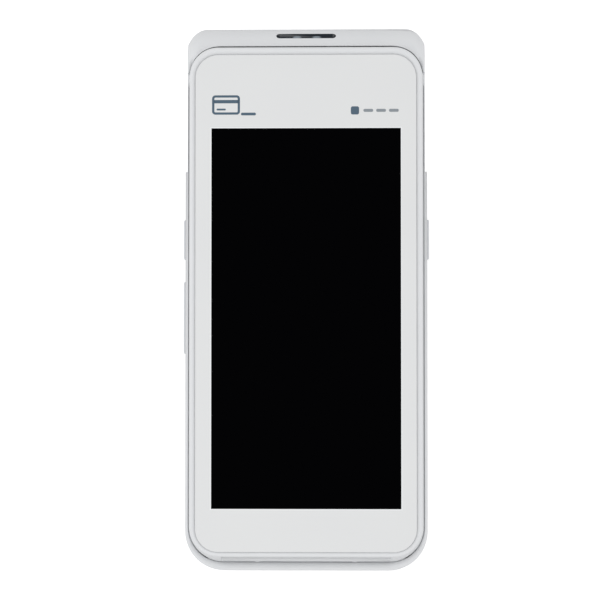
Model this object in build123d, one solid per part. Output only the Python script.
from build123d import *
import os
from math import acos, asin, atan2, cos, degrees, hypot, pi, radians, sin, sqrt, tan

os.makedirs("parts", exist_ok=True)

# A handheld card payment terminal with a built-in receipt printer.
# It is drawn in device axes: x to the right, y towards the printer head, z out of the screen, with
# z = 0 on the front of the glass. The last section tilts it back onto its rubber feet.

# ---------------------------------------------------------------- driving sizes, millimetres
length = 181.1               # whole unit, bottom end to head end
rear_width = 80.6            # rear shell across the grip
front_width = 77.9           # front frame
head_step = 0.8              # the head is this much narrower on each side
grip_depth = 22.0            # glass front to the flat back of the grip
wall = 2.0                   # rear shell
front_wall = 1.8             # front frame
seam_depth = 7.0             # glass front to the joint between the shells
rim_drop = 0.4               # glass stands this much above the frame
glass_gap = 0.04             # glass in its pocket
seam_gap = 0.35              # shadow line round the front frame
head_gap = 0.6               # front frame to the printer head
fit_gap = 0.15               # loose parts in their pockets
door_gap = 0.3               # moving covers in their openings

roll_radius = 20.0           # receipt roll
roll_width = 57.0
core_radius = 8.0
core_wall = 1.5
roll_to_bay = 1.3            # roll to the bay wall
bay_wall = 1.1
platen_radius = 4.5
platen_shaft_radius = 1.5
platen_gap = 1.3             # roller to the roll's bay
gear_module = 0.5
platen_teeth = 20
idler_teeth = 22
pinion_teeth = 12
gear_width = 2.0
gear_backlash = 0.08

glass_width = 72.8
glass_corner = 7.6
glass_thick = 1.1
glass_top_margin = 10.6      # head end to the glass
glass_end_margin = 6.9       # bottom end to the glass
panel_width = 66.0           # display panel, with its frame
panel_length = 132.0
panel_thick = 2.2
panel_top_margin = 32.5      # head end to the display panel

key_height = 3.2
key_proud = 0.7
key_travel = 0.4
key_depth = 12.0             # glass front to the middle of the side keys
usb_width = 8.94
usb_height = 3.2
usb_depth = 7.3

battery_width = 60.0
battery_thick = 7.4
cover_width = 66.0
cover_thick = 1.6

card_width = 54.8            # throat for an ID-1 card, with clearance
card_gap = 1.3
card_depth = 5.4             # glass front to the middle of the card throat
swipe_gap = 1.4
swipe_reach = 11.8           # depth of the swipe slot in from the side
swipe_depth = 10.2           # glass front to the middle of the swipe slot

screw_radius = 1.0
screw_head_radius = 1.9
foot_proud = 0.6

# ---------------------------------------------------------------- places worked out from the sizes
top_y = length / 2
end_y = -length / 2
half_rear = rear_width / 2
half_front = front_width / 2
head_half = half_rear - head_step
frame_top_y = top_y - 7.6            # top edge of the front frame
drum_r = roll_radius + roll_to_bay + wall + 0.2
drum_z = -(swipe_depth + swipe_gap / 2 + 0.2 + bay_wall + roll_to_bay + roll_radius)
platen = (top_y - 13.0, -22.5)       # axis of the rubber roller
platen_reach = roll_radius + roll_to_bay + bay_wall + platen_gap + platen_radius
drum_y = platen[0] - sqrt(platen_reach ** 2 - (platen[1] - drum_z) ** 2)
cap_r = 10.0
cap_y = top_y - cap_r
cap_z = -14.0
heel_y = drum_y - drum_r - 21.5      # where the flat back turns down to the head
heel_blend = 20.0
edge_round = 5.0


def span(x0, x1, y0, y1, z0, z1):
    """A box between two corners."""
    centre = Pos((x0 + x1) / 2, (y0 + y1) / 2, (z0 + z1) / 2)
    return centre * Box(abs(x1 - x0), abs(y1 - y0), abs(z1 - z0))


def bar(y, z, radius, x0, x1):
    """A round bar along x."""
    return Pos((x0 + x1) / 2, y, z) * Rot(0, 90, 0) * Cylinder(radius, abs(x1 - x0))


def post(x, y, radius, z0, z1):
    """A round post along z."""
    return Pos(x, y, (z0 + z1) / 2) * Cylinder(radius, abs(z1 - z0))


def slab(sketch, z0, z1):
    """A plan outline, drawn in x and y, made solid between two depths."""
    return extrude(Plane.XY.offset(min(z0, z1)) * sketch, amount=abs(z1 - z0))


def side(sketch, x0, x1):
    """A side outline, drawn in y and z, made solid between two x values."""
    return extrude(Plane.YZ.offset(min(x0, x1)) * sketch, amount=abs(x1 - x0))


def plan(half_width, y0, y1, r_low, r_high):
    """A rounded plan outline with one corner radius at each end."""
    sheet = Pos(0, (y0 + y1) / 2) * Rectangle(2 * half_width, y1 - y0)
    sheet = fillet(sheet.vertices().group_by(Axis.Y)[0], r_low)
    return fillet(sheet.vertices().group_by(Axis.Y)[-1], r_high)


def polygon(*points):
    return make_face(Polyline(*points, close=True))


def tangent_angle(c1, r1, c2, r2):
    """Direction, in radians, of the line that touches two circles on their rear sides."""
    dy, dz = c2[0] - c1[0], c2[1] - c1[1]
    return atan2(dz, dy) + asin((r1 - r2) / hypot(dy, dz))


def rear_point(c, r, angle):
    """Where a line in that direction touches the rear of a circle."""
    return (c[0] + r * sin(angle), c[1] - r * cos(angle))


drum = (drum_y, drum_z)
cap = (cap_y, cap_z)
heel = (heel_y, -grip_depth)
back_angle = tangent_angle(drum, drum_r, cap, cap_r)
slope_angle = tangent_angle(heel, 0.0, drum, drum_r)
drum_back = rear_point(drum, drum_r, back_angle)
cap_back = rear_point(cap, cap_r, back_angle)
drum_slope = rear_point(drum, drum_r, slope_angle)
slope_dir = (cos(slope_angle), sin(slope_angle))
slope_out = (sin(slope_angle), -cos(slope_angle))


def on_slope(distance, depth=0.0):
    """A point on the slope behind the grip, a distance from the heel and a depth inside it."""
    return (heel[0] + distance * slope_dir[0] - depth * slope_out[0],
            heel[1] + distance * slope_dir[1] - depth * slope_out[1])


# ---------------------------------------------------------------- outer form of the unit
def side_profile():
    """Side view: flat grip, slope, drum over the paper roll and round cap at the head end."""
    low_y = end_y - 10.0
    body = polygon((low_y, cap_z + cap_r), (cap_y, cap_z + cap_r), cap_back, drum_back,
                   (drum_y, drum_z), drum_slope, heel, (low_y, -grip_depth))
    body += Pos(*drum) * Circle(drum_r)
    body += Pos(*cap) * Circle(cap_r)
    corner = body.vertices().sort_by_distance((heel[0], heel[1], 0))[0]
    return fillet(corner, heel_blend)


profile = side_profile()


def rear_form(inset):
    """The side profile and the plan outline, met and rounded along the back."""
    shape = offset(profile, amount=-inset) if inset else profile
    sheet = plan(half_rear - inset, end_y + inset, top_y + 2.0 - inset, 13.0 - inset, 12.0 - inset)
    form = side(shape, -half_rear, half_rear) & slab(sheet, -70.0, 0.0)
    plan_edges = set()
    for face in form.faces():
        normal = face.normal_at()
        if abs(normal.Z) < 0.001 and face.center().Z < -6.0:
            plan_edges.update(e for e in face.edges())
    rear_edges = [e for e in form.edges() if e in plan_edges and not is_upright(e)]
    rear_edges = [e for e in rear_edges if e.center().Z < cap_z + cap_r - inset - 0.5]
    return fillet(rear_edges, edge_round - inset * 0.8)


def is_upright(edge):
    """True for a straight edge along z."""
    return edge.geom_type == GeomType.LINE and abs(edge.tangent_at(0.5).Z) > 0.999


outer = rear_form(0.0)
inner = rear_form(wall)
far = 120.0                          # reach of cutting tools, past everything
parts = {}


# ---------------------------------------------------------------- front frame
frame_low = end_y + 3.1              # bottom edge of the frame at the seam
frame_draft = 2.4                    # the frame's bottom end slopes back by this much
rim_half = half_front - 0.6
ledge_z = -glass_thick
ledge_back = ledge_z - panel_thick
panel_top = top_y - panel_top_margin
panel_low = panel_top - panel_length
glass_top = top_y - glass_top_margin
glass_low = end_y + glass_end_margin

glass = slab(plan(glass_width / 2, glass_low, glass_top, glass_corner, glass_corner), ledge_z, 0.0)
glass = fillet(glass.edges().group_by(Axis.Z)[-1], 0.15)
parts["cover_glass"] = glass

panel = span(-panel_width / 2, panel_width / 2, panel_low, panel_top, ledge_back, ledge_z)
parts["display_panel"] = panel

throat_z0 = -card_depth + card_gap / 2
throat_z1 = -card_depth - card_gap / 2
lip_thick = 1.6
lip_gap = 1.5                        # shadow gap above the card rail
window_half = card_width / 2 + 0.4


def front_shell():
    """The front frame: drafted outside, a pocket for the glass and a ledge behind it."""
    rim = plan(rim_half, frame_low + frame_draft, frame_top_y - 0.4, 9.6, 9.4)
    foot = plan(half_front, frame_low, frame_top_y, 11.5, 10.0)
    shell = loft([Plane.XY.offset(-rim_drop) * rim, Plane.XY.offset(-seam_depth) * foot], ruled=True)
    shell = fillet(shell.edges().group_by(Axis.Z)[-1], 0.9)
    inside = plan(half_front - front_wall - 0.6, frame_low + frame_draft - 0.2 + front_wall,
                  frame_top_y - front_wall - 0.4, 9.0, 8.5)
    shell -= slab(inside, -far, ledge_back)
    pocket = plan(glass_width / 2 + glass_gap, glass_low - glass_gap, glass_top + glass_gap,
                  glass_corner + glass_gap, glass_corner + glass_gap)
    shell -= slab(pocket, ledge_z, 1.0)
    shell -= span(-panel_width / 2 - fit_gap, panel_width / 2 + fit_gap,
                  panel_low - fit_gap, panel_top + fit_gap, -far, 1.0)
    shell -= span(-window_half, window_half, end_y, frame_low + 5.5, throat_z1, throat_z0 + lip_thick + 0.3)
    shell -= span(-window_half, window_half, end_y, frame_low + 3.4,
                  throat_z0 + lip_thick, throat_z0 + lip_thick + lip_gap)
    return shell


front_housing = front_shell()
reader_low = frame_low + 4.5
lip = span(-window_half, window_half, frame_low + 0.75, frame_low + 2.8, throat_z0, throat_z0 + lip_thick)
lip = fillet(lip.edges().group_by(Axis.Y)[0].filter_by(Axis.X), 0.4)
parts["card_slot_lip"] = lip

# ---------------------------------------------------------------- frame plate, board and reader
plate_back = ledge_back - 0.9
plate_half = half_front - front_wall - 0.7
plate_low = frame_low + 4.5
plate_top = panel_top + 2.0
screw_places = [(16.0, end_y + 5.0, -grip_depth + 2.5), (-16.0, end_y + 5.0, -grip_depth + 2.5),
                (28.0, heel_y - 5.6, -grip_depth + 2.5), (-28.0, heel_y - 5.6, -grip_depth + 2.5)]
mid_frame = slab(plan(plate_half, plate_low, plate_top, 9.4, 4.0), plate_back, ledge_back)
board_front = plate_back - 4.1
board_back = board_front - 1.0
board_half = half_rear - wall - 1.2
board_low = end_y + 8.6
board_top = drum_y - drum_r - 1.5
for x, y, seat in screw_places[2:]:
    mid_frame += post(x, y, 2.6, board_front, plate_back)
    mid_frame -= post(x, y, screw_radius, board_front - 1.0, plate_back + 0.5)
parts["mid_frame"] = mid_frame

reader_half = card_width / 2 + 1.6
reader_top = reader_low + 42.0
reader = span(-reader_half, reader_half, reader_low, reader_top, board_front, plate_back)
reader -= span(-card_width / 2, card_width / 2, reader_low - 1.0, reader_top - 4.0, throat_z1, throat_z0)
parts["chip_card_reader"] = reader
spring_pitch = 2.54
contacts = []
for row in (0, 1):
    for column in range(4):
        x = (column - 1.5) * spring_pitch
        y = reader_low + 18.0 + row * 7.6
        contacts.append(bar(y, throat_z1, 0.45, x - 0.5, x + 0.5) & span(
            x - 1, x + 1, y - 1, y + 1, throat_z1, throat_z0))
parts["chip_contacts"] = contacts

board = slab(plan(board_half, board_low, board_top, 3.0, 3.0), board_back, board_front)
for x, y, seat in screw_places:
    board -= post(x, y, screw_radius + 0.25, board_back - 1, board_front + 1)
parts["main_board"] = board
can_height = 1.9
parts["shield_cans"] = [
    span(-32.0, -5.0, reader_top + 4.0, reader_top + 26.0, board_front, board_front + can_height),
    span(3.0, 31.0, reader_top + 5.0, reader_top + 33.0, board_front, board_front + can_height),
]
parts["coin_cell"] = fillet(post(-14.0, reader_top + 40.0, 6.2, board_front, board_front + 1.6).edges(), 0.3)
antenna = slab(plan(30.0, panel_top - 52.0, panel_top - 1.0, 3.0, 3.0), plate_back - 0.3, plate_back)
antenna -= slab(plan(26.0, panel_top - 48.0, panel_top - 5.0, 2.0, 2.0), -far, 0.0)
parts["nfc_antenna"] = antenna

# ---------------------------------------------------------------- hinge, door region and platen
barrel_r = 2.5
pin_r = 1.0
hinge_run = 28.0
hinge = on_slope(hinge_run, barrel_r + 0.3)
exit_y = top_y + 4.0
exit_z = -18.2
door_half = roll_width / 2 + 1.8     # narrow part, over the roll
head_door_half = 35.6                # wide part, over the platen
door_step_y = drum_y + 14.3
lip_slot = 1.1                       # paper exit


def door_region(grow):
    """Side outline of everything behind the line from the hinge to the paper exit."""
    lift = lip_slot if grow else 0.0
    edge = (hinge[0] + 30 * slope_out[0], hinge[1] + 30 * slope_out[1])
    return polygon(hinge, (exit_y, exit_z + lift), (exit_y + 20, -90.0), (edge[0] + 5, -90.0), edge)


def door_block(grow):
    region = door_region(grow)
    narrow = side(region, -door_half - grow, door_half + grow)
    wide = side(region, -head_door_half - grow, head_door_half + grow)
    return narrow + (wide & span(-far, far, door_step_y - grow, far, -far, 0))


door = (outer - inner) & door_block(0.0)
arm_inner = roll_width / 2 + 0.8
arm_outer = arm_inner + 2.4
bush_r = 2.6
for sign in (-1, 1):
    arm = side(polygon((platen[0] - 4.2, platen[1] + 2.0), (platen[0] - 1.0, platen[1] + 4.3),
                       (platen[0] + 4.0, platen[1] + 2.4), (platen[0] + 9.5, platen[1] + 0.5),
                       (platen[0] + 5.0, platen[1] - 14.0), (platen[0] - 7.0, platen[1] - 22.0)),
               sign * arm_inner, sign * arm_outer)
    door += arm & inner
    door -= bar(*platen, bush_r, sign * arm_inner, sign * arm_outer)
door += bar(*hinge, barrel_r, -door_half, door_half) & outer
door -= bar(*hinge, pin_r + 0.05, -far, far)
door -= bar(*drum, roll_radius + roll_to_bay, -roll_width / 2 - 0.6, roll_width / 2 + 0.6)
parts["cover_hinge_pin"] = bar(*hinge, pin_r, -door_half - 1.5, door_half + 1.5)

sleeve_half = roll_width / 2 + 0.4
parts["platen_sleeve"] = (bar(*platen, platen_radius, -sleeve_half, sleeve_half)
                          - bar(*platen, platen_shaft_radius, -far, far))
gear_x = -(door_half + 3.1)
parts["platen_shaft"] = bar(*platen, platen_shaft_radius, gear_x - gear_width, arm_outer + 0.2)
parts["platen_bushes"] = [
    bar(*platen, bush_r, s * arm_inner, s * arm_outer) - bar(*platen, platen_shaft_radius + 0.05, -far, far)
    for s in (-1, 1)]


# ---------------------------------------------------------------- paper drive gears
def gear(teeth, centre, bore, phase):
    """A spur gear across x. A tooth points in the direction phase, in radians, in y and z."""
    pitch_r = gear_module * teeth / 2
    base_r = pitch_r * cos(radians(20))
    root_r = pitch_r - 1.2 * gear_module
    tip_r = pitch_r + 0.95 * gear_module
    half_tooth = pi / (2 * teeth) - gear_backlash / (2 * pitch_r)

    def flank(radius):
        """Half the tooth's angle at a radius, by the involute of the base circle."""
        involute = lambda r: sqrt(max((r / base_r) ** 2 - 1, 0)) - acos(min(base_r / r, 1))
        return half_tooth + involute(pitch_r) - involute(max(radius, base_r))

    steps = [root_r, (base_r + pitch_r) / 2 if base_r > root_r else (root_r + pitch_r) / 2, pitch_r, tip_r]
    points = []
    for tooth in range(teeth):
        middle = phase + tooth * 2 * pi / teeth
        for radius in steps:
            points.append((middle - flank(radius), radius))
        for radius in reversed(steps):
            points.append((middle + flank(radius), radius))
    outline = polygon(*[(centre[0] + r * cos(a), centre[1] + r * sin(a)) for a, r in points])
    return side(outline, gear_x - gear_width, gear_x) - bar(*centre, bore, -far, far)


platen_to_idler = gear_module * (platen_teeth + idler_teeth) / 2
idler_to_motor = gear_module * (idler_teeth + pinion_teeth) / 2
swing = atan2(platen[1] - hinge[1], platen[0] - hinge[0])
mesh_angle = swing + pi / 2          # the idler lies straight along the door's path
idler = (platen[0] + platen_to_idler * cos(mesh_angle), platen[1] + platen_to_idler * sin(mesh_angle))
motor_angle = radians(147.0)
motor = (idler[0] + idler_to_motor * cos(motor_angle), idler[1] + idler_to_motor * sin(motor_angle))
motor_r = 4.0
axle_r = 0.8
motor_shaft_r = 0.75
idler_phase = mesh_angle + pi + pi / idler_teeth
pinion_phase = motor_angle + pi + pi / pinion_teeth + (motor_angle - idler_phase) * idler_teeth / pinion_teeth
parts["platen_gear"] = gear(platen_teeth, platen, platen_shaft_radius, mesh_angle)
parts["idler_gear"] = gear(idler_teeth, idler, axle_r + 0.05, idler_phase)
parts["motor_pinion"] = gear(pinion_teeth, motor, motor_shaft_r, pinion_phase)
plate_x = gear_x + 0.3
gear_plate = side(polygon((door_step_y - 8, -19.5), (door_step_y + 14, -16.8), (top_y - 8.0, -14.5),
                          (top_y - 8.0, -8.5), (frame_top_y - front_wall - 2.8, -seam_depth - 0.4),
                          (idler[0] + 2, -4.6), (door_step_y - 4, -4.6)),
                  plate_x, plate_x + 1.0)
gear_plate -= bar(*idler, axle_r, -far, far)
gear_plate -= bar(*motor, 2.0, -far, far)
parts["gear_plate"] = gear_plate
parts["idler_axle"] = bar(*idler, axle_r, gear_x - gear_width - 0.4, plate_x + 1.0)
printer_motor = bar(*motor, motor_r, plate_x + 1.0, plate_x + 17.0)
printer_motor += bar(*motor, 2.0, plate_x, plate_x + 1.0)
parts["printer_motor"] = printer_motor - bar(*motor, motor_shaft_r, plate_x - 1, plate_x + 3.0)
parts["motor_shaft"] = bar(*motor, motor_shaft_r, gear_x - gear_width, plate_x + 3.0)

# ---------------------------------------------------------------- paper, print head and tear bar
half_roll = roll_width / 2
core_outer = bar(*drum, core_radius, -half_roll, half_roll)
parts["paper_core"] = core_outer - bar(*drum, core_radius - core_wall, -far, far)
parts["paper_roll"] = bar(*drum, roll_radius, -half_roll, half_roll) - core_outer
head_face = platen[1] + platen_radius + 0.3
head_half_width = 24.0             # print line, half its width
print_head = span(-head_half_width, head_half_width, platen[0] - 5.0, platen[0] + 4.0,
                  head_face, head_face + 0.9)
print_head += span(-head_half_width, head_half_width, platen[0] - 7.0, platen[0] + 3.0,
                   head_face + 0.9, head_face + 3.2)
head_pivot = (platen[0] - 7.6, head_face + 2.6)
print_head += bar(*head_pivot, 0.9, -head_half_width - 1.0, head_half_width + 1.0)
parts["print_head"] = print_head
spring_z = head_face + 3.2
frame_z = -seam_depth - 1.2          # underside of the print frame's plate
frame_half = head_half_width + 1.3
frame_end = frame_top_y - 0.9
spring_leaf = span(-12.0, 12.0, platen[0] - 5.5, platen[0] + 1.5, spring_z + 0.5, spring_z + 0.8)
for x in (-9.0, 0.0, 9.0):
    spring_leaf += span(x - 2.0, x + 2.0, platen[0] - 1.5, platen[0] + 1.5, spring_z + 0.4, spring_z + 0.5)
spring_leaf += span(-12.0, 12.0, platen[0] - 5.5, platen[0] - 5.2, spring_z + 0.5, frame_z)
parts["print_head_spring"] = spring_leaf
print_frame = span(-frame_half, frame_half, motor[0] + motor_r + 0.5, frame_end, frame_z, frame_z + 0.8)
ear = polygon((head_pivot[0] - 1.8, head_pivot[1] - 1.8), (head_pivot[0] + 5.0, head_pivot[1] - 1.8),
              (head_pivot[0] + 5.0, frame_z), (motor[0] + motor_r + 0.5, frame_z),
              (motor[0] + motor_r + 0.5, head_pivot[1] + 1.8), (head_pivot[0] - 1.8, head_pivot[1] + 1.8))
for sign in (-1, 1):
    print_frame += side(ear, sign * (frame_half - 1.0), sign * frame_half)
tear_z = exit_z + lip_slot + 0.9
tear_seat = 1.2                      # thickness of the lip behind the tear bar
for sign in (-1, 1):
    print_frame += span(sign * 10.0, sign * 20.0, frame_end - 1.0, frame_end, tear_z + tear_seat, frame_z)
print_frame -= bar(*head_pivot, 0.95, -far, far)
parts["print_head_frame"] = print_frame
tooth_pitch = 1.5
tear_half = roll_width / 2 + 0.5
tear_y = top_y - 3.4
teeth_line = [(-tear_half, tear_y - 2.6)]
for step in range(int(2 * tear_half / tooth_pitch)):
    teeth_line += [(-tear_half + step * tooth_pitch, tear_y),
                   (-tear_half + (step + 0.5) * tooth_pitch, tear_y + 0.8)]
teeth_line += [(tear_half, tear_y), (tear_half, tear_y - 2.6)]
parts["tear_bar"] = slab(polygon(*teeth_line), tear_z - 0.4, tear_z)

# ---------------------------------------------------------------- status light in the cap
light_angle = radians(48.0)
light_width = 19.9
light_height = 2.3
light_plane = Plane(origin=(0, cap[0] + cap_r * cos(light_angle), cap[1] + cap_r * sin(light_angle)),
                    x_dir=(1, 0, 0), z_dir=(0, cos(light_angle), sin(light_angle)))


def pill(plane, width, height, z0, z1, x=0.0, y=0.0):
    """A round-ended plate in a surface plane, between two heights."""
    sheet = Pos(x, y, z0) * SlotOverall(width, height)
    return extrude(plane * sheet, amount=z1 - z0)


parts["status_light_window"] = pill(light_plane, light_width, light_height, -1.5, -0.05)
pipe_places = (-3.0, 3.5)
parts["status_light_pipes"] = [light_plane * Pos(x, 0, -2.75) * Box(3.2, 1.4, 2.5) for x in pipe_places]
parts["light_board"] = light_plane * Pos(0, 0.4, -4.4) * Box(16.0, 3.0, 0.8)

# ---------------------------------------------------------------- swipe reader
swipe_z0 = -swipe_depth + swipe_gap / 2
swipe_z1 = -swipe_depth - swipe_gap / 2
swipe_low = drum_y - 9.7
mag = (head_half - 6.0, drum_y + 20.0)
mag_size = (7.0, 7.0)
mag_travel = 0.4
mag_front = swipe_z1 + 0.35
magstripe_head = span(mag[0] - mag_size[0] / 2, mag[0] + mag_size[0] / 2,
                      mag[1] - mag_size[1] / 2, mag[1] + mag_size[1] / 2, mag_front - 3.6, mag_front)
magstripe_head = fillet(magstripe_head.edges().group_by(Axis.Z)[-1].filter_by(Axis.X), 0.9)
parts["magstripe_head"] = magstripe_head
leaf_z = mag_front - 3.6 - mag_travel - 0.1
leaf = span(mag[0] - 3.0, half_rear - wall, mag[1] - 1.6, mag[1] + 1.6, leaf_z - 0.3, leaf_z)
parts["magstripe_spring"] = leaf

# ---------------------------------------------------------------- side keys and their switches
key_inner = half_rear - wall
flange = 0.8
switch_face = key_inner - flange - key_travel - 0.1


def side_key(sign, y0, y1, proud=key_proud):
    """A round-ended key through the side wall, with a flange behind it."""
    middle = Pos((y0 + y1) / 2, -key_depth)
    stem = extrude(Plane.YZ.offset(key_inner - flange) * middle * SlotOverall(y1 - y0, key_height),
                   amount=wall + flange + proud)
    stem = fillet(stem.edges().group_by(Axis.X)[-1], 0.35)
    stem += extrude(Plane.YZ.offset(key_inner - flange) * middle * SlotOverall(y1 - y0 + 1.4, key_height + 1.2),
                    amount=flange)
    return stem if sign > 0 else mirror(stem, about=Plane.YZ)


def key_hole(sign, y0, y1):
    middle = Pos((y0 + y1) / 2, -key_depth)
    hole = extrude(Plane.YZ.offset(key_inner - 0.5) * middle
                   * SlotOverall(y1 - y0 + 2 * fit_gap, key_height + 2 * fit_gap), amount=wall + 3.0)
    return hole if sign > 0 else mirror(hole, about=Plane.YZ)


key_top = drum_y - 25.4          # upper end of the two short keys
key_length = 13.4
keys = {"power_key": (1, key_top - key_length, key_top),
        "function_key": (-1, key_top - key_length, key_top),
        "volume_key": (-1, key_top - 44.9, key_top - 20.8)}
for name, place in keys.items():
    parts[name] = side_key(*place)
switches = []
for sign, y0, y1 in keys.values():
    count = 2 if y1 - y0 > 20 else 1
    for step in range(count):
        y = (y0 + y1) / 2 + (step - (count - 1) / 2) * (y1 - y0) / 2
        switches.append(span(sign * (switch_face - 1.8), sign * switch_face, y - 2.4, y + 2.4,
                             -key_depth - 1.6, board_back))
parts["key_switches"] = switches

# ---------------------------------------------------------------- charging port
usb_y = end_y + 48.7
usb_z = board_back - usb_height / 2
usb_x = -(half_rear - 0.5)
port = Pos(usb_y, usb_z) * SlotOverall(usb_width, usb_height)
bore = Pos(usb_y, usb_z) * SlotOverall(usb_width - 0.6, usb_height - 0.6)
usb_shell = extrude(Plane.YZ.offset(usb_x) * port, amount=usb_depth)
usb_shell -= extrude(Plane.YZ.offset(usb_x) * bore, amount=usb_depth - 0.8)
parts["usb_c_shell"] = usb_shell
parts["usb_c_tongue"] = span(usb_x + 1.2, usb_x + usb_depth - 0.8, usb_y - 3.3, usb_y + 3.3,
                             usb_z - 0.35, usb_z + 0.35)

# ---------------------------------------------------------------- battery, its cover and latch
cover_low = end_y + 9.0
cover_high = heel_y - 9.0
battery_low = cover_low + 6.0
battery_high = cover_high - 5.0
battery_front = board_back - 2.5
bay_half = battery_width / 2 + 0.6
bay_low = battery_low - 0.5
bay_high = battery_high + 2.0
shelf_z = -grip_depth + cover_thick
battery = span(-battery_width / 2, battery_width / 2, battery_low, battery_high,
               battery_front - battery_thick, battery_front)
parts["battery_pack"] = fillet(battery.edges().filter_by(Axis.Z), 2.0)
battery_contacts = [span(-6.5, 6.5, bay_high - 1.2, bay_high, battery_front - 5.5, battery_front - 1.0)]
for step in range(4):
    x = (step - 1.5) * 2.6
    battery_contacts.append(span(x - 0.5, x + 0.5, battery_high, bay_high - 1.2,
                                 battery_front - 4.5, battery_front - 2.0))
parts["battery_contacts"] = battery_contacts
half_cover = cover_width / 2
cover = slab(plan(half_cover, cover_low, cover_high, 4.0, 4.0), -grip_depth, shelf_z)
latch_y = cover_high - 7.5
latch_travel = 2.5
latch_width = 16.0
latch_height = 5.0
cover -= span(-latch_width / 2 - 0.3, latch_width / 2 + 0.3, latch_y - latch_height / 2 - latch_travel - 0.3,
              latch_y + latch_height / 2 + 0.3, -far, -grip_depth + 0.9)
cover -= span(-3.2, 3.2, latch_y - 1.2 - latch_travel - 0.2, latch_y + 1.4, -far, 0)
hook_places = (-25.0, 25.0)
hook_half = 4.0
hook_inner = 1.9
hook_outer = 3.1                     # the hooks curve round the cover's outer edge, which it turns on
for x in hook_places:
    ring = (bar(cover_low, -grip_depth, hook_outer, x - hook_half, x + hook_half)
            - bar(cover_low, -grip_depth, hook_inner, x - hook_half, x + hook_half))
    cover += ring & span(-far, far, -far, far, shelf_z - 0.05, 0)
parts["battery_cover"] = cover
latch = span(-latch_width / 2, latch_width / 2, latch_y - latch_height / 2, latch_y + latch_height / 2,
             -grip_depth - 0.1, -grip_depth + 0.8)
for step in range(5):
    y = latch_y + (step - 2) * 0.9
    latch += span(-latch_width / 2 + 1.0, latch_width / 2 - 1.0, y - 0.2, y + 0.2, -grip_depth - 0.4,
                  -grip_depth)
latch += span(-3.0, 3.0, latch_y - 1.2, latch_y + 1.2, -grip_depth, shelf_z + 0.15)
latch += span(-6.0, 6.0, latch_y - 1.6, latch_y + 3.2, shelf_z + 0.1, shelf_z + 0.7)
parts["battery_latch"] = latch

# ---------------------------------------------------------------- camera, flash and speaker
camera_run = 16.5
camera_y, camera_z = on_slope(camera_run)
slope_plane = Plane(origin=(0, camera_y, camera_z), x_dir=(1, 0, 0), z_dir=(0, slope_out[0], slope_out[1]))


def round_in(plane, x, radius, z0, z1):
    return plane * Pos(x, 0, (z0 + z1) / 2) * Cylinder(radius, z1 - z0)


window_r = 4.4
window_thick = 1.2
parts["camera_window"] = fillet(round_in(slope_plane, 0, window_r, -window_thick, 0.0).edges(), 0.2)
module = slope_plane * Pos(0, 0, -wall - 2.2) * Box(8.6, 8.6, 4.4)
parts["camera_module"] = module + round_in(slope_plane, 0, 3.2, -wall - 0.1, -window_thick)
flash_x = 10.0
flash_r = 1.9
parts["flash_lens"] = round_in(slope_plane, flash_x, flash_r, -wall, -0.1)
speaker_x = -17.0
parts["speaker"] = slope_plane * Pos(speaker_x, 0, -wall - 1.7) * Box(15.0, 10.0, 3.4)
sim = span(-24.0, -9.0, battery_low + 36.0, battery_low + 50.0, board_back - 1.8, board_back)
parts["sim_socket"] = sim
charge_pitch = 6.0
charge_r = 1.4
charge_z = -15.5
charge_x = [(step - 1.5) * charge_pitch for step in range(4)]
parts["charging_contacts"] = [
    Pos(x, end_y + 1.2, charge_z) * Rot(90, 0, 0) * Cylinder(charge_r, 2.2) for x in charge_x]

# ---------------------------------------------------------------- cover release on the printer door
release_run = 12.0
back_dir = (cos(back_angle), sin(back_angle))
back_out = (sin(back_angle), -cos(back_angle))
release_plane = Plane(origin=(0, drum_back[0] + release_run * back_dir[0],
                              drum_back[1] + release_run * back_dir[1]),
                      x_dir=(-1, 0, 0), z_dir=(0, back_out[0], back_out[1]))
release_width = 20.0
release_height = 7.0
release_travel = 1.5
release = release_plane * Pos(0, 0, -0.5) * Box(release_width, release_height, 1.0)
for step in range(5):
    release += release_plane * Pos(0, (step - 2) * 1.2, 0.1) * Box(release_width - 3.0, 0.5, 0.6)
release += release_plane * Pos(0, 0, -1.5) * Box(8.0, 3.0, 1.4)
release += release_plane * Pos(0, 0, -wall - 0.65) * Box(12.0, 4.0, 1.0)
parts["cover_release"] = release
door -= release_plane * Pos(0, -release_travel / 2, -0.6 + 2.0) * Box(
    release_width + 0.5, release_height + release_travel + 0.5, 1.2 + 4.0)
door -= release_plane * Pos(0, -release_travel / 2, -1.5) * Box(8.5, 3.5 + release_travel, 3.0)
parts["printer_cover"] = door

# ---------------------------------------------------------------- rear shell
relief = polygon(
    hinge,
    (hinge[0] - (barrel_r + 0.7) * slope_dir[0], hinge[1] - (barrel_r + 0.7) * slope_dir[1]),
    (hinge[0] - (barrel_r + 0.7) * slope_dir[0] + 20 * slope_out[0],
     hinge[1] - (barrel_r + 0.7) * slope_dir[1] + 20 * slope_out[1]),
    (hinge[0] + 20 * slope_out[0], hinge[1] + 20 * slope_out[1]))
clear_half = door_half + door_gap
bay_r = roll_radius + roll_to_bay
frame_corner = 10.0 + head_gap
seam_depth_cut = 0.8                 # depth of the shadow line below the seam
end_ledge = 1.6                      # shelf under the bottom end of the front frame
rear = outer - inner - span(-far, far, -far, frame_top_y - 8.0, -seam_depth, 5.0)
rear -= slab(plan(half_front + fit_gap, end_y - 20.0, frame_top_y + head_gap, frame_corner, frame_corner),
             -seam_depth, 5.0)
seam_edges = [e for e in rear.edges() if abs(e.center().Z + seam_depth) < 0.01
              and e.bounding_box().size.Z < 0.01 and e.center().Y < frame_top_y - 1.0]
rim_edges = [e for e in seam_edges if abs(e.center().X) > half_rear - wall + 0.1
             or e.center().Y < end_y + 0.3
             or (e.center().Y < end_y + 8.0 and half_rear - 5.0 < abs(e.center().X))]
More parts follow.
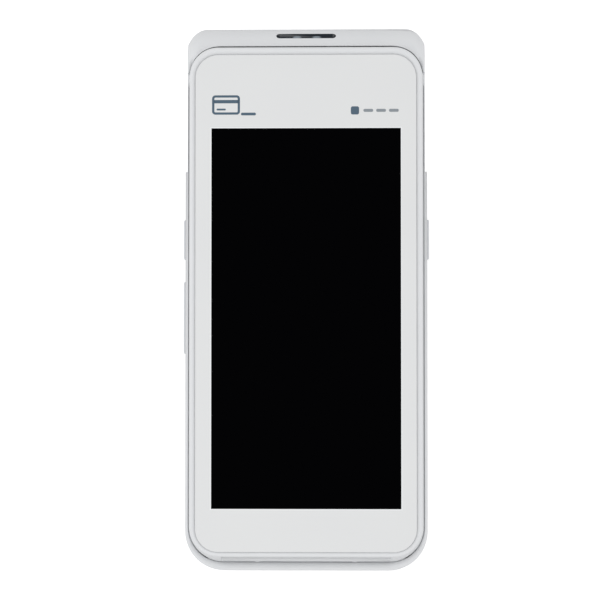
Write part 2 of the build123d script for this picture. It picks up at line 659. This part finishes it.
rear = fillet(rim_edges, 0.9)
rear += inner & span(-half_rear, half_rear, end_y, frame_low + 1.2, -seam_depth - end_ledge, -seam_depth)
seam_line = plan(half_front + seam_gap, frame_low - seam_gap, frame_top_y - 12.0, 11.5 + seam_gap, 1.0)
seam_line -= plan(half_front, frame_low, frame_top_y - 11.0, 11.5, 1.0)
rear -= slab(seam_line, -seam_depth - seam_depth_cut, -seam_depth + 1.0)
rear -= span(head_half, far, swipe_low, far, -far, 5.0)
rear -= span(-far, -head_half, swipe_low, far, -far, 5.0)
bucket = bar(*drum, bay_r + bay_wall, -clear_half, clear_half) - bar(*drum, bay_r, -far, far)
rear += bucket & span(-far, far, hinge[0] - 10, far, -far, -swipe_depth)
swipe_block = span(head_half - swipe_reach - 1.2, head_half - 0.6, swipe_low - 4.0, top_y,
                   swipe_z1 - 1.2, swipe_z0 + 1.2)
rear += swipe_block & outer
rear -= door_block(door_gap)
rear -= bar(*hinge, barrel_r + door_gap, -clear_half, clear_half)
rear -= side(relief, -clear_half, clear_half)
cheek = side(polygon((hinge[0] - 5, hinge[1] + 3), (hinge[0] - 5, -90), (door_step_y - door_gap, -90),
                     (door_step_y - door_gap, drum[1] + 12)), clear_half, clear_half + 1.4)
cheek += bar(*drum, bay_r + bay_wall, clear_half, clear_half + 1.4) & span(
    -far, far, -far, door_step_y - door_gap, -far, 0)
cheek = cheek & outer
rear += cheek + mirror(cheek, about=Plane.YZ)
rear -= bar(*hinge, pin_r, -door_half - 1.5, door_half + 1.5)
swipe = span(head_half - swipe_reach, far, swipe_low, far, swipe_z1, swipe_z0)
rear -= fillet(swipe.edges().filter_by(Axis.Z).group_by(Axis.Y)[0], 6.0)
rear -= span(mag[0] - mag_size[0] / 2 - fit_gap, mag[0] + mag_size[0] / 2 + fit_gap,
             mag[1] - mag_size[1] / 2 - fit_gap, mag[1] + mag_size[1] / 2 + fit_gap, swipe_z1 - 3.0, swipe_z1)
rear += span(-tear_half - 1, tear_half + 1, tear_y - 3.2, top_y, tear_z, tear_z + tear_seat) & outer

bay_skin = 1.2
bay_box = span(-bay_half - bay_skin, bay_half + bay_skin, bay_low - bay_skin, bay_high + bay_skin,
               -grip_depth + 0.5, battery_front + 0.4 + bay_skin)
rim_box = span(-half_cover - 1.3, half_cover + 1.3, cover_low - 3.6, cover_high + 1.2,
               -grip_depth + 0.5, shelf_z + 1.6)
rear += (bay_box + rim_box) & outer
rear -= span(-bay_half, bay_half, bay_low, bay_high, -far, battery_front + 0.4)
recess = plan(half_cover + fit_gap, cover_low - fit_gap, cover_high + fit_gap, 4.0, 4.0)
rear -= slab(recess, -far, shelf_z)
for x in hook_places:
    rear -= span(x - hook_half - 0.3, x + hook_half + 0.3, cover_low - 2.9, bay_low + 1.0, shelf_z,
                 shelf_z + 2.4)
    rear -= span(x - hook_half - 0.3, x + hook_half + 0.3, cover_low - 2.9, cover_low, shelf_z - 0.2,
                 shelf_z + 2.4)
rear -= span(sim.bounding_box().min.X - 0.3, sim.bounding_box().max.X + 0.3,
             sim.bounding_box().min.Y - 0.3, sim.bounding_box().max.Y + 0.3, battery_front, board_back)

screws = []
front_boss_z = board_front - 1.2
front_boss_r = 2.0
for x, y, seat in screw_places:
    tube_top = front_boss_z if y < 0 and abs(y - end_y) < 10 else board_back
    rear += post(x, y, 3.2, seat - 1.0, tube_top) & outer
    rear -= post(x, y, screw_radius + 0.2, -far, tube_top + 1.0)
    rear -= post(x, y, screw_head_radius + 0.2, -far, seat)
    tip = tube_top + 2.6
    screw = post(x, y, screw_radius, seat, tip) + post(x, y, screw_head_radius, seat - 1.4, seat)
    screw -= post(x, y, 0.8, seat - 2.0, seat - 0.6)
    screws.append(screw)
    if tube_top == front_boss_z:
        rear -= post(x, y, front_boss_r + fit_gap, -seam_depth - end_ledge - 0.1, -seam_depth + 0.1)
        front_housing += post(x, y, front_boss_r, front_boss_z, throat_z1)
        front_housing -= post(x, y, screw_radius, front_boss_z - 1.0, tip)
parts["housing_screws"] = screws
for place in keys.values():
    rear -= key_hole(*place)
rear -= extrude(Plane.YZ.offset(-far) * Pos(usb_y, usb_z)
                * SlotOverall(usb_width + 0.3, usb_height + 0.3), amount=far - half_rear + wall + 1.0)
for x in charge_x:
    rear -= Pos(x, end_y, charge_z) * Rot(90, 0, 0) * Cylinder(charge_r, 6.0)
rear -= pill(light_plane, light_width, light_height, -4.0, 3.0)
rear -= round_in(slope_plane, 0, window_r, -window_thick, 5.0)
rear -= round_in(slope_plane, 0, 3.3, -wall - 1.0, 5.0)
rear -= round_in(slope_plane, flash_x, flash_r, -wall - 1.0, 5.0)
for step in range(5):
    rear -= pill(slope_plane, 9.0, 0.9, -wall - 1.0, 3.0, x=speaker_x, y=(step - 2) * 1.7)

# ---------------------------------------------------------------- tilt onto the feet
foot_r = edge_round
heel_foot = (end_y + edge_round, -grip_depth + edge_round)
tilt = -tangent_angle(heel_foot, foot_r, drum, drum_r)
stand = Rot(degrees(tilt), 0, 0)
lift = drum_r + foot_proud - (drum[0] * sin(tilt) + drum[1] * cos(tilt))


def stood(piece):
    return Pos(0, 0, lift) * stand * piece


def floor_y(y, z):
    """Where a device point lies along the unit once it is tilted."""
    return y * cos(tilt) - z * sin(tilt)


foot_thick = 2.0
drum_foot_y = floor_y(*drum)
end_foot_y = floor_y(*heel_foot)
cheek_foot_x = (clear_half + 1.0, half_rear - edge_round + 0.4)
feet = []
for sign in (-1, 1):
    feet.append(span(sign * cheek_foot_x[0], sign * cheek_foot_x[1], drum_foot_y - 6.0, drum_foot_y + 6.0,
                     0, foot_thick))
    feet.append(span(sign * 22.5, sign * 34.0, end_foot_y - 1.0, end_foot_y + 3.6, 0, foot_thick))
feet = [fillet(foot.edges().filter_by(Axis.Z), 0.9) for foot in feet]

world = {name: [stood(s) for s in (piece if isinstance(piece, list) else [piece])]
         for name, piece in parts.items()}
world["front_housing"] = [stood(front_housing)]
rear = stood(rear)
for foot in feet:
    rear -= foot
world["rear_housing"] = [rear]
world["rear_feet"] = feet

boxes = [s.bounding_box() for solids in world.values() for s in solids]
shift = Pos(-(min(b.min.X for b in boxes) + max(b.max.X for b in boxes)) / 2,
            -(min(b.min.Y for b in boxes) + max(b.max.Y for b in boxes)) / 2,
            -min(b.min.Z for b in boxes))
for name, solids in world.items():
    placed = [solid for s in solids for solid in (shift * s).solids()]
    shape = placed[0] if len(placed) == 1 else Compound(children=placed)
    export_step(shape, f"parts/{name}.step")


def axis_point(y, z, x=0.0):
    """A device point in the frame of the exported pieces, in metres, for the joint list."""
    spot = (shift * Pos(0, 0, lift) * stand * Pos(x, y, z)).position
    return [round(v / 1000, 6) for v in (spot.X, spot.Y, spot.Z)]


def axis_dir(y, z, x=0.0):
    return [round(v, 6) for v in (x, y * cos(tilt) - z * sin(tilt), y * sin(tilt) + z * cos(tilt))]


print("nodes", len(world), "tilt", round(degrees(tilt), 3))
print("printer_cover", axis_point(*hinge))
print("platen", axis_point(*platen), "idler", axis_point(*idler), "motor", axis_point(*motor))
print("roll", axis_point(*drum), "head pivot", axis_point(*head_pivot))
print("battery cover", axis_point(cover_low, -grip_depth), "along", axis_dir(1, 0), "out", axis_dir(0, 1))
print("release", axis_point(drum_back[0], drum_back[1]), "dir", axis_dir(-back_dir[0], -back_dir[1]))
for name, (sign, y0, y1) in keys.items():
    print(name, axis_point((y0 + y1) / 2, -key_depth, sign * half_rear), "dir", -sign)
print("magstripe", axis_point(mag[1], mag_front, mag[0]), "latch", axis_point(latch_y, -grip_depth))
print("usb", axis_point(usb_y, usb_z, usb_x), "charging", axis_point(end_y, charge_z), axis_dir(-1, 0))
print("foot", [round(v, 5) for v in (drum_foot_y, end_foot_y)], axis_point(0, 0))
